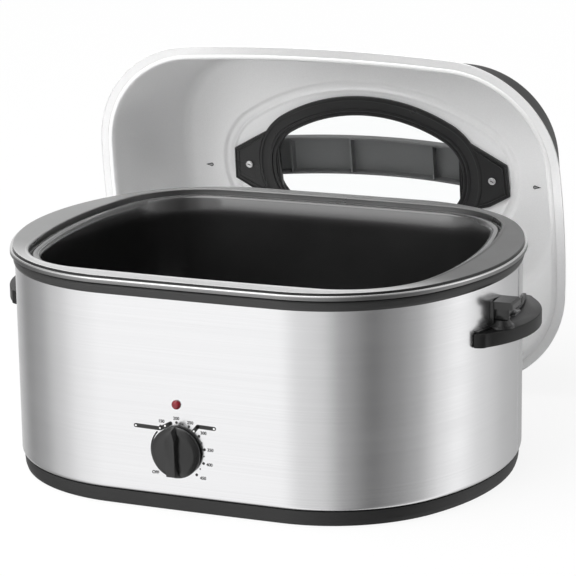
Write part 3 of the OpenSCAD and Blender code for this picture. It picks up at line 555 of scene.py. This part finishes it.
def makeLid():
    d = lid
    t, top, low, r = d["sheet"], d["dome"], d["low"], d["shoulderR"]
    wide = d["slope"] * (top + t - r - low)
    corner = d["slope"] * r
    flange = soften([
        (-d["wallSet"] - t, 9), (-d["flange"] - 6.4, 3.4, 1.5), (-d["flange"] - 4, 0.1, 2.0),
        (-d["flange"] - 0.4, 0.3, 1.2), (-d["flange"] + 0.4, 1.1, 0.3), (-d["flange"] + 1.2, 1.1, 0.3),
        (-d["flange"] + 1.5, 0.8, 0.2), (-1.5, 0.7, 0.4), (-0.5, 0.1, 0.4), (0, 1.8, 0.5), (-1.2, 3.2, 1.0),
        (-d["flange"] - 4, 3.8, 2), (-d["wallSet"], 10)])
    inner = soften([(wide - t, low), (-corner - t, top, r - t), (-27, top)])
    outer = soften([(-27, top + t), (-corner, top + t, r), (wide, low + 1)])
    bm = bmesh.new()
    sweepRound(bm, lidPlan, flange, closed=False)
    sweepRound(bm, domePlan, inner, closed=False)
    sweepRound(bm, domePlan, outer, closed=False)
    joinAt(bm, 9, low)
    joinAt(bm, 10, low + 1)
    up = d["roof"] - top
    for z in (top, top + t):  # embossed oval with a crescent bead inside it
        step = [(2.5, z), (1, z), (-0.6, z + 0.7), (-2.6, z + up - 0.6), (-4.4, z + up), (-9.5, z + up),
                (-10.6, z + up - 0.8), (-12, z + up - 1.1), (-13.4, z + up - 0.8), (-14.5, z + up),
                (-16, z + up)]
        sweepRound(bm, embossPlan, soften(step), closed=False)
    sweepRound(bm, panePlan, soften([(6, d["roof"]), (6, d["roof"] + t)]), closed=False)
    for level in (top, top + t, d["roof"], d["roof"] + t):
        fillFlat(bm, level)
    shell = keep(bm, "lidShell", made["lidSteel"], "lid", ["lid_shell"], smooth=50, lid=True)
    shell.data.materials.append(made["lidEnamel"])
    back = standUp().inverted()
    for face in shell.data.polygons:  # the outside is enamelled black, the inside and the flange are bare
        centre = back @ face.center
        normal = back.to_3x3() @ face.normal
        outward = Vector((centre.x, centre.y, 0)).normalized()
        wall = normal.dot(outward) > 0.2 and 12 * mm < centre.z < 130 * mm
        if centre.z > 1.7 * mm and (normal.z > 0.3 or wall):
            face.material_index = 1
    return shell


makeLid()

# the two steam vents, small dark drops pressed into the roof
vent = {"x": 212, "y": 5, "length": 10, "radius": 2.3, "depth": 0.4, "inner": 0.55}


def makeVent(side, scale, finish, lift):
    v = vent
    bm = bmesh.new()
    low = lid["dome"] - v["depth"] - lift
    high = low + v["depth"] + 0.3
    radius = v["radius"] * scale
    disc(bm, (side * v["x"], v["y"]), radius, low, high, sides=20)
    tip = side * (v["x"] + v["length"] * scale - radius)
    wide = radius * 0.95
    prism(bm, [(tip, v["y"]), (side * v["x"], v["y"] - wide), (side * v["x"], v["y"] + wide)], low, high)
    name = "steamVent" + ("Left" if side < 0 else "Right") + ("Inner" if scale < 1 else "")
    return keep(bm, name, made[finish], "lid", lid=True)


for side in (-1, 1):
    makeVent(side, 1, "printAndPaintedShadeBlack", 0)
    makeVent(side, vent["inner"], "zincSheet", 0.1)
print("lid shell made")

# window frame, glass, lid handle

window = {"front": 142.6, "back": 147.8, "width": 24, "ringFront": 153.4, "ringBack": 149.4,
          "ringWidth": 16, "wing": ((118, -54), (178, -20), (180, 20), (154, 35), (116, 46)),
          "wingSteps": ((0.6, -0.7), (1.6, 0), (0.6, 0.9), (2.0, 0), (0.6, -0.9), (1.4, 0), (0.7, 0.9))}


def makeFrame():
    w = window
    front, back = w["front"], w["back"]
    profile = soften([
        (0, back), (0, front + 1.0, 0.5), (1.2, front, 0.5), (3.2, front, 0.5), (4.0, front + 1.2, 0.4),
        (5.4, front + 1.2, 0.4), (6.2, front - 0.2, 0.5), (8.6, front - 0.2, 0.5), (9.4, front + 1.4, 0.4),
        (w["width"] - 5, front + 0.8, 1), (w["width"] - 4, front, 0.5), (w["width"] - 1.4, front, 0.8),
        (w["width"], front + 1.6, 0.8), (w["width"], back)], closed=True)
    bm = bmesh.new()
    sweepRound(bm, panePlan, profile)
    for side in (-1, 1):
        outline = [(side * x, y) for x, y in w["wing"]]
        face = prism(bm, outline if side > 0 else outline[::-1], back, front + 1.6)
        for thickness, step in w["wingSteps"]:  # the double raised outline
            bmesh.ops.inset_region(bm, faces=[face], thickness=thickness * mm, depth=0)
            bmesh.ops.translate(bm, verts=list(face.verts), vec=(0, 0, step * mm))
    return keep(bm, "windowFrame", made["blackPlasticAndPaintedShade"], "lid", ["window_frame"],
                smooth=38, lid=True)


makeFrame()


def makeOuterRing():
    w = window
    front, back = w["ringFront"], w["ringBack"]
    profile = soften([(0, back), (0, front, 1.2), (w["ringWidth"], front, 1.6), (w["ringWidth"], back)],
                     closed=True)
    bm = bmesh.new()
    sweepRound(bm, panePlan, profile)
    return keep(bm, "windowOuterRing", made["blackPlasticAndPaintedShade"], "lid", ["window_ring"],
                smooth=40, lid=True)


makeOuterRing()

screw = {"head": 5.0, "low": 140.9, "high": 144.4, "round": 1.6, "shank": 2, "end": 156, "turn": 20,
         "slot": (2.3, 0.5), "slotLow": 140.5, "slotHigh": 141.2}


def makeLidScrews():
    s = screw
    bm = bmesh.new()
    for side in (-1, 1):
        spot = (side * lidPose["screwX"], 0)
        head = disc(bm, spot, s["head"], s["low"], s["high"], sides=36)
        edges = {e for v in head["verts"] for e in v.link_edges
                 if all(abs(w.co.z - s["low"] * mm) < 0.00001 for w in e.verts)}
        bmesh.ops.bevel(bm, geom=list(edges), offset=s["round"] * mm, offset_type="OFFSET", segments=5,
                        profile=0.5, material=-1, affect="EDGES")
        disc(bm, spot, s["shank"], s["high"] - 0.4, s["end"], sides=20)
    return keep(bm, "lidHandleScrews", made["brightScrew"], "lid", ["lid_handle_screws"],
                lid=True)


# the slots are thin black bars on the screw heads, painted shade standing in for recessed slots
def makeLidScrewSlots():
    s = screw
    bm = bmesh.new()
    long, wide = s["slot"]
    for side in (-1, 1):
        bar = block(bm, (-long, -wide, s["slotLow"]), (long, wide, s["slotHigh"]))
        spot = Matrix.Translation((side * lidPose["screwX"] * mm, 0, 0))
        bmesh.ops.transform(bm, verts=bar["verts"],
                            matrix=spot @ Matrix.Rotation(math.radians(s["turn"]), 4, "Z"))
    return keep(bm, "lidScrewSlots", made["printAndPaintedShadeBlack"], "lid", lid=True)


makeLidScrews()
makeLidScrewSlots()

grip = {"width": 49, "rise": 46, "thick": 13, "span": 171, "foot": 149.5, "pad": 23, "skin": 3,
        "y": -4, "ribs": (-112, -37, 72, 132)}


def makeLidHandle():
    g = grip
    rise = g["rise"] - g["thick"]
    radius = (g["span"] ** 2 + rise ** 2) / (2 * rise)
    half = g["width"] / 2
    bm = bmesh.new()
    sweep = 2 * math.asin(g["span"] / (radius + g["thick"])) * 0.985
    skirt, skin = g["thick"], g["skin"]
    section = soften([(-half, -skirt, 1), (-half, 0, 4), (half, 0, 4), (half, -skirt, 1),
                      (half - skin, -skirt), (half - skin, -skin, 1), (-half + skin, -skin, 1),
                      (-half + skin, -skirt)], closed=True)
    hub = g["foot"] + rise - radius
    top = radius + g["thick"]
    ring = [bm.verts.new((0, (p.x + g["y"]) * mm, (hub + top + p.y) * mm)) for p in section]
    face = bm.faces.new(ring)
    bmesh.ops.rotate(bm, verts=ring, cent=(0, 0, hub * mm),
                     matrix=Matrix.Rotation(-sweep / 2, 3, "Y"))
    bmesh.ops.spin(bm, geom=[face] + list(face.edges) + ring, cent=(0, 0, hub * mm), axis=(0, 1, 0),
                   dvec=(0, 0, 0), angle=sweep, steps=48, use_merge=False, use_duplicate=False)
    for x in g["ribs"]:  # ribs under the bridge
        high = hub + math.sqrt(top * top - x * x) - 1.5
        block(bm, (x - 1.2, g["y"] - half + 1, high - skirt + 0.5), (x + 1.2, g["y"] + half - 1, high))
    for side in (-1, 1):
        disc(bm, (side * lidPose["screwX"], 0), g["pad"], g["foot"], g["foot"] + 9, sides=48, taper=0.96)
    return keep(bm, "lidHandle", made["gripGrey"], "lid", ["lid_handle"],
                smooth=35, lid=True)


makeLidHandle()
print("window and lid handle made")

# side handles and lid rests

handle = {"out": 28, "half": 86, "top": 183, "high": 15, "edgeR": 122, "tipR": 7, "tipSteps": 5,
          "ribHalf": 82, "ribW": 3.4, "ribHigh": 2.2, "ribSteps": 24}


def endAt(y, inset):
    radius = bodyPlan["endR"] - inset
    return bodyPlan["halfWidth"] - bodyPlan["endR"] + math.sqrt(radius * radius - y * y)


def handleOutline(steps=28):
    h = handle
    hub = bodyPlan["halfWidth"] - casing["set"] + h["out"] - h["edgeR"]
    tip = h["half"] - h["tipR"]
    reach = math.asin(tip / h["edgeR"])
    outline = []
    for k in range(steps + 1):
        angle = -reach + 2 * reach * k / steps
        outline.append((hub + h["edgeR"] * math.cos(angle), h["edgeR"] * math.sin(angle)))
    last = outline[-1]
    inner = (endAt(h["half"], casing["set"] - 0.3), h["half"])
    tipSteps = range(1, h["tipSteps"])
    for k in tipSteps:  # the rounded far tip
        a = math.pi / 2 * k / h["tipSteps"]
        outline.append((inner[0] + (last[0] - inner[0]) * math.cos(a), last[1] + h["tipR"] * math.sin(a)))
    for k in range(steps + 1):
        y = h["half"] - 2 * h["half"] * k / steps
        outline.append((endAt(y, casing["set"] - 0.3), y))
    for k in reversed(tipSteps):
        a = math.pi / 2 * k / h["tipSteps"]
        outline.append((inner[0] + (last[0] - inner[0]) * math.cos(a), -last[1] - h["tipR"] * math.sin(a)))
    return outline


def turned(bm, side):  # the left-hand parts are the same mouldings turned round
    if side < 0:
        bmesh.ops.transform(bm, matrix=Matrix.Rotation(math.pi, 4, "Z"), verts=bm.verts)


def makeHandle(side):
    h = handle
    bm = bmesh.new()
    prism(bm, handleOutline(), h["top"] - h["high"], h["top"])
    roundOff(bm, 1.2, angle=50)
    edge = casing["set"] - 0.3  # the raised rib along the casing
    path = [h["ribHalf"] * (2 * k / h["ribSteps"] - 1) for k in range(h["ribSteps"] + 1)]
    rib = [(endAt(y, edge), y) for y in path] + [(endAt(y, edge) + h["ribW"], y) for y in reversed(path)]
    prism(bm, rib[::-1], h["top"] - 1, h["top"] + h["ribHigh"])
    turned(bm, side)
    name = "handle_left" if side < 0 else "handle_right"
    return keep(bm, "sideHandle" + ("Left" if side < 0 else "Right"), made["handleBlack"], "root",
                [name], smooth=30)


rest = {"y": -42, "width": 30, "high": 28, "cap": 8, "chamfer": 2.4, "saucer": 14, "tip": 293.6}


def makeRest(side):
    r = rest
    half = r["width"] / 2
    foot = handle["top"] + 0.2
    back = endAt(r["y"] - half, casing["set"]) + 1.0
    tip = r["tip"]
    bm = bmesh.new()
    block(bm, (back - 1, r["y"] - half, foot), (back + 4, r["y"] + half, foot + r["high"]), 1.0)
    cap = block(bm, (back + 1, r["y"] - half + 1, foot + r["high"] - r["cap"]),
                (tip, r["y"] + half - 1, foot + r["high"]))
    front = [e for v in cap["verts"] for e in v.link_edges
             if all(w.co.x > (tip - 0.1) * mm and w.co.z > (foot + r["high"] - 0.1) * mm for w in e.verts)]
    bmesh.ops.bevel(bm, geom=list(set(front)), offset=r["chamfer"] * mm, offset_type="OFFSET",
                    segments=1, profile=0.5, material=-1, affect="EDGES")
    block(bm, (back + 2, r["y"] - half + 4, foot + 8),
          (tip - 5, r["y"] + half - 6, foot + r["high"] - 6), 1.2)
    block(bm, (back + 2, r["y"] - 2, foot + 10), (tip - 1, r["y"] + half + 4, foot + 13), 1.0)
    spot = (tip - r["saucer"], r["y"] - 6)
    disc(bm, spot, r["saucer"], foot, foot + 2.4, sides=40, taper=0.95)
    disc(bm, spot, r["saucer"] * 0.82, foot + 2.4, foot + 8, sides=40, taper=0.7)
    turned(bm, side)
    name = "lid_rest_left" if side < 0 else "lid_rest_right"
    return keep(bm, "lidRest" + ("Left" if side < 0 else "Right"), made["knobBlack"], "root",
                [name], smooth=30)


for side in (-1, 1):
    makeHandle(side)
    makeRest(side)
print("handles made")

# knob, lens and dial

knob = {"x": -14, "z": 67, "face": -217, "gap": 3, "radius": 27, "high": 23, "bar": 13, "crown": 5.5,
        "narrow": 0.78, "short": 0.9}


def onKnobAxis():  # knob's own +Z comes toward the front, +Y points up
    return (Matrix.Translation((knob["x"] * mm, knob["face"] * mm, knob["z"] * mm))
            @ Matrix.Rotation(math.pi / 2, 4, "X"))


def makeKnob():
    k = knob
    r, back = k["radius"], k["gap"]
    profile = soften([(3.3, back), (7, back), (7, back + 3), (r - 2, back + 3), (r - 2, back),
                      (r, back, 0.4), (r, back + 3.2, 1.6), (r - 5, back + 6.5, 3), (8, back + 8.4, 6),
                      (0, back + 8.6)])
    bm = bmesh.new()
    line = [bm.verts.new((p.x * mm, 0, p.y * mm)) for p in profile]
    edges = [bm.edges.new(pair) for pair in zip(line, line[1:])]
    bmesh.ops.spin(bm, geom=edges + line, cent=(0, 0, 0), axis=(0, 0, 1), dvec=(0, 0, 0),
                   angle=2 * math.pi, steps=72, use_merge=True, use_duplicate=False)
    bmesh.ops.remove_doubles(bm, verts=bm.verts, dist=0.00002)
    half = k["bar"] / 2
    outline = [(-half, -r + 2.5), (half, -r + 2.5), (half, r - half - 2), (0.8, r + 2.4), (-0.8, r + 2.4),
               (-half, r - half - 2)]
    bar = bmesh.new()
    top = prism(bar, outline, back + 3, back + k["high"] - 3)
    for vert in top.verts:  # crowned along its length and narrower on top
        vert.co.z -= (vert.co.y / (r * mm)) ** 2 * k["crown"] * mm
        vert.co.x *= k["narrow"]
        vert.co.y *= k["short"]
    roundOff(bar, 1.3, angle=25)
    mesh = bpy.data.meshes.new("barTemp")
    bar.to_mesh(mesh)
    bar.free()
    bm.from_mesh(mesh)
    bpy.data.meshes.remove(mesh)
    return keep(bm, "thermostatKnob", made["knobBlack"], "knob", ["knob"], smooth=30,
                turn=onKnobAxis())


makeKnob()

lens = {"z": 117.5, "radius": 5, "flat": 0.62, "sunk": 2, "proud": 0.6}


def makeLens():
    n = lens
    bm = bmesh.new()
    bmesh.ops.create_uvsphere(bm, u_segments=36, v_segments=18, radius=n["radius"] * mm)
    low = [v for v in bm.verts if v.co.z < -0.0001]
    bmesh.ops.delete(bm, geom=low, context="VERTS")
    bmesh.ops.scale(bm, vec=(1, 1, n["flat"]), verts=bm.verts)
    rimEdges = [e for e in bm.edges if e.is_boundary]
    result = bmesh.ops.extrude_edge_only(bm, edges=rimEdges)
    bmesh.ops.translate(bm, verts=[g for g in result["geom"] if isinstance(g, bmesh.types.BMVert)],
                        vec=(0, 0, -n["sunk"] * mm))
    closeEnds(bm)
    bmesh.ops.translate(bm, verts=bm.verts, vec=(0, (n["z"] - knob["z"]) * mm, n["proud"] * mm))
    return keep(bm, "lampLens", lensMaterial, "root", ["indicator_lens"],
                turn=onKnobAxis())


makeLens()

# printed dial, in mm from the knob's axis
dial = {"big": 1.5, "small": 0.8, "pale": 1.1, "sunk": -0.1, "proud": 0.12, "size": 4.6, "bold": 0.12,
        "bigDots": ((-18.5, 25.5), (-0.4, 31.3), (13.5, 28.4), (24.6, 19.4), (30.4, 5.5), (29, -9.4),
                    (21, -22.6)),
        "smallDots": ((6.8, 30.2), (27.7, 12.6), (29.7, -1.8), (25.1, -15.9)),
        "paleDots": ((-46.6, 23.7), (-19.2, 23.5), (-13.4, 26.6), (18.9, 24.1), (41.4, 29)),
        "pillHalf": 2.1, "leftPill": ((-46.8, 23.7), (-19, 23.1), (-7.1, 29.7)),
        "rightPill": ((18.9, 24.1), (23.4, 29.5), (41.6, 29)),
        "arcR": 29.6, "arcHalf": 0.8, "arcFrom": -130, "arcTo": -48,
        "words": {"OFF": (-25.5, -25), "150": (-17.5, 31), "200": (-0.6, 35.6), "250": (15.1, 32.6),
                  "300": (29.6, 23), "350": (36.9, 5.5), "400": (35.6, -10.4), "450": (28, -25.6)}}


def strip(bm, path, wide, low, high):  # a flat bar of round-ended stretches
    for (x0, y0), (x1, y1) in zip(path, path[1:]):
        along = Vector((x1 - x0, y1 - y0))
        side = Vector((-along.y, along.x)).normalized() * wide
        prism(bm, [(x0 + side.x, y0 + side.y), (x0 - side.x, y0 - side.y), (x1 - side.x, y1 - side.y),
                   (x1 + side.x, y1 + side.y)], low, high)
    for x, y in path:
        disc(bm, (x, y), wide, low, high, sides=20)


def makeDial():
    d = dial
    bm = bmesh.new()
    for spot in d["bigDots"]:
        disc(bm, spot, d["big"], d["sunk"], d["proud"], sides=20)
    for spot in d["smallDots"]:
        disc(bm, spot, d["small"], d["sunk"], d["proud"], sides=14)
    for path in (d["leftPill"], d["rightPill"]):
        strip(bm, path, d["pillHalf"], d["sunk"], d["proud"])
    angles = [math.radians(a) for a in range(d["arcFrom"], d["arcTo"], 5)]
    arc = [(d["arcR"] * math.sin(a), d["arcR"] * math.cos(a)) for a in angles]
    strip(bm, arc, d["arcHalf"], d["sunk"], d["proud"])
    return keep(bm, "dialMarks", made["printAndPaintedShadeBlack"], "root", turn=onKnobAxis())


def makeDialSpots():
    d = dial
    bm = bmesh.new()
    for spot in d["paleDots"]:
        disc(bm, spot, d["pale"], 0, d["proud"] + 0.06, sides=18)
    return keep(bm, "dialSpots", made["printPale"], "root", turn=onKnobAxis())


def makeNumbers():
    d = dial
    bm = bmesh.new()
    for word, (x, y) in d["words"].items():
        curve = bpy.data.curves.new("word" + word, "FONT")
        curve.body = word
        curve.size = d["size"] * mm
        curve.align_x = "CENTER"
        curve.align_y = "CENTER"
        curve.extrude = 0.1 * mm
        curve.offset = d["bold"] * mm
        holder = bpy.data.objects.new("word" + word, curve)
        bpy.context.scene.collection.objects.link(holder)
        bpy.context.view_layer.update()
        flat = bpy.data.meshes.new_from_object(holder)
        flat.transform(Matrix.Translation((x * mm, y * mm, 0.05 * mm)))
        bm.from_mesh(flat)
        bpy.data.objects.remove(holder)
        bpy.data.meshes.remove(flat)
    return keep(bm, "dialNumbers", made["printAndPaintedShadeBlack"], "root", turn=onKnobAxis())


makeDial()
makeDialSpots()
makeNumbers()
print("controls made")

# the pieces that keep their frame mesh

keptFinish = {"bottom_plate": "zincSheet", "rubber_feet": "footRubber", "foot_screws": "brightScrew",
              "heater_band": "heaterRibbon", "wall_insulation": "glassWool",
              "floor_insulation": "glassWool", "heat_shield": "shieldFoil",
              "thermostat_body": "paleCeramic", "thermostat_nut": "brightScrew",
              "indicator_lamp": "paleCeramic", "terminal_block": "paleCeramic",
              "wiring_harness": "leadSleeve", "cord_gland": "blackPlasticAndPaintedShade",
              "handle_screws": "brightScrew", "thermostat_shaft": "brightScrew",
              "knob_clip": "brightScrew", "window_gasket": "greyGasket"}
for name, finish in keptFinish.items():
    for holder in nodes[name].material_slots:
        holder.material = made[finish]
for holder in nodes["window_glass"].material_slots:
    holder.material = glassMaterial
print("kept nodes finished")

# floor, light and camera

stage = {"floor": 8.0, "pale": 0.9, "glow": 0.9, "key": 18, "fill": 5}


def makeFloor():
    bm = bmesh.new()
    bmesh.ops.create_grid(bm, x_segments=2, y_segments=2, size=stage["floor"])
    mesh = bpy.data.meshes.new("floor")
    bm.to_mesh(mesh)
    bm.free()
    floor = bpy.data.objects.new("floor", mesh)
    bpy.context.scene.collection.objects.link(floor)
    material = bpy.data.materials.new("paleFloor")
    material.use_nodes = True
    tree = material.node_tree
    tree.nodes.remove(tree.nodes["Principled BSDF"])
    output = tree.nodes["Material Output"]
    diffuse = tree.nodes.new("ShaderNodeBsdfDiffuse")
    diffuse.inputs["Color"].default_value = (*even(stage["pale"]), 1)
    glow = tree.nodes.new("ShaderNodeEmission")
    paths = tree.nodes.new("ShaderNodeLightPath")
    seen = tree.nodes.new("ShaderNodeMath")
    seen.operation = "MAXIMUM"
    mix = tree.nodes.new("ShaderNodeMixShader")
    share = tree.nodes.new("ShaderNodeMath")
    share.operation = "MULTIPLY"
    share.inputs[1].default_value = stage["glow"]
    tree.links.new(paths.outputs["Is Camera Ray"], seen.inputs[0])
    tree.links.new(paths.outputs["Is Transmission Ray"], seen.inputs[1])
    tree.links.new(seen.outputs["Value"], share.inputs[0])
    tree.links.new(share.outputs["Value"], mix.inputs["Fac"])
    tree.links.new(diffuse.outputs["BSDF"], mix.inputs[1])
    tree.links.new(glow.outputs["Emission"], mix.inputs[2])
    tree.links.new(mix.outputs["Shader"], output.inputs["Surface"])
    mesh.materials.append(material)
    floor.visible_glossy = False


makeFloor()

# what shiny pieces see round them, by compass angle in degrees: a bright room with soft dark gaps
roomLevels = [(-180, 0.34), (-160, 0.58), (-135, 0.86), (-112, 1.0), (-96, 0.7), (-80, 0.66),
              (-62, 0.32), (-42, 0.15), (-25, 0.24), (-6, 0.38), (10, 0.66), (25, 0.98), (42, 0.66),
              (68, 0.46), (92, 0.4), (106, 0.5), (122, 0.8), (140, 0.5), (160, 0.26), (180, 0.34)]

# what lights the matt pieces, by the same angle: mostly from the front and the left
softLevels = [(-180, 1.0), (-135, 3.1), (-100, 4.1), (-80, 1.3), (-62, 0.06), (-20, 0.03), (40, 0.02),
              (90, 0.3), (135, 0.8), (180, 1.0)]


def compassRamp(tree, compass, levels):
    ramp = tree.nodes.new("ShaderNodeValToRGB")
    ramp.color_ramp.interpolation = "EASE"
    elements = ramp.color_ramp.elements
    while len(elements) > 1:
        elements.remove(elements[-1])
    for i, (angle, level) in enumerate(levels):
        stop = elements[0] if i == 0 else elements.new((angle + 180) / 360)
        stop.position = (angle + 180) / 360
        stop.color = (*even(level), 1)
    tree.links.new(compass.outputs["Fac"], ramp.inputs["Fac"])
    return ramp


def makeWorld():
    world = bpy.data.worlds.new("studio")
    bpy.context.scene.world = world
    world.use_nodes = True
    tree = world.node_tree
    background = tree.nodes["Background"]
    place = tree.nodes.new("ShaderNodeTexCoord")
    compass = tree.nodes.new("ShaderNodeTexGradient")
    compass.gradient_type = "RADIAL"
    tree.links.new(place.outputs["Generated"], compass.inputs["Vector"])
    ramp = compassRamp(tree, compass, roomLevels)
    soft = compassRamp(tree, compass, softLevels)
    paths = tree.nodes.new("ShaderNodeLightPath")
    glossy = tree.nodes.new("ShaderNodeMix")
    glossy.data_type = "RGBA"
    tree.links.new(soft.outputs["Color"], glossy.inputs[6])
    tree.links.new(paths.outputs["Is Glossy Ray"], glossy.inputs[0])
    tree.links.new(ramp.outputs["Color"], glossy.inputs[7])
    direct = tree.nodes.new("ShaderNodeMath")
    direct.operation = "MAXIMUM"
    tree.links.new(paths.outputs["Is Camera Ray"], direct.inputs[0])
    tree.links.new(paths.outputs["Is Transmission Ray"], direct.inputs[1])
    white = tree.nodes.new("ShaderNodeMix")
    white.data_type = "RGBA"
    white.inputs[7].default_value = (1, 1, 1, 1)
    tree.links.new(direct.outputs["Value"], white.inputs[0])
    tree.links.new(glossy.outputs[2], white.inputs[6])
    tree.links.new(white.outputs[2], background.inputs["Color"])


makeWorld()


def addLamp(name, place, aim, size, power):
    data = bpy.data.lights.new(name, "AREA")
    data.shape = "RECTANGLE"
    data.size, data.size_y = size
    data.energy = power
    lamp = bpy.data.objects.new(name, data)
    lamp.location = place
    lamp.rotation_euler = (Vector(aim) - Vector(place)).to_track_quat("-Z", "Y").to_euler()
    bpy.context.scene.collection.objects.link(lamp)


addLamp("overhead", (-0.6, -0.5, 2.6), (0, 0.1, 0.2), (2.4, 2.0), stage["key"])
addLamp("frontFill", (-1.6, -2.6, 1.4), (0, 0, 0.15), (1.6, 1.6), stage["fill"])

view = {"focal": 2577.0, "azimuth": 22.412, "pitch": 14.622, "roll": -0.829, "distance": 2852,
        "right": 17.519, "up": 182.287, "width": 576}


def makeCamera():
    v = view
    a, p, roll = (math.radians(v[k]) for k in ("azimuth", "pitch", "roll"))
    right = Vector((math.cos(a), math.sin(a), 0))
    forward = Vector((-math.sin(a) * math.cos(p), math.cos(a) * math.cos(p), -math.sin(p)))
    up = right.cross(forward)
    turnedRight = right * math.cos(roll) + up * math.sin(roll)
    turnedUp = up * math.cos(roll) - right * math.sin(roll)
    place = (-forward * v["distance"] + turnedRight * v["right"] + turnedUp * v["up"]) * mm
    data = bpy.data.cameras.new("photoView")
    data.sensor_width = 36
    data.lens = v["focal"] / v["width"] * 36
    data.clip_start = 0.05
    data.clip_end = 60
    camera = bpy.data.objects.new("photoView", data)
    axes = Matrix((turnedRight, turnedUp, -forward)).transposed()
    camera.matrix_world = Matrix.Translation(place) @ axes.to_4x4()
    bpy.context.scene.collection.objects.link(camera)
    bpy.context.scene.camera = camera


makeCamera()
bpy.context.scene.view_settings.view_transform = "Standard"
print("stage and camera ready")
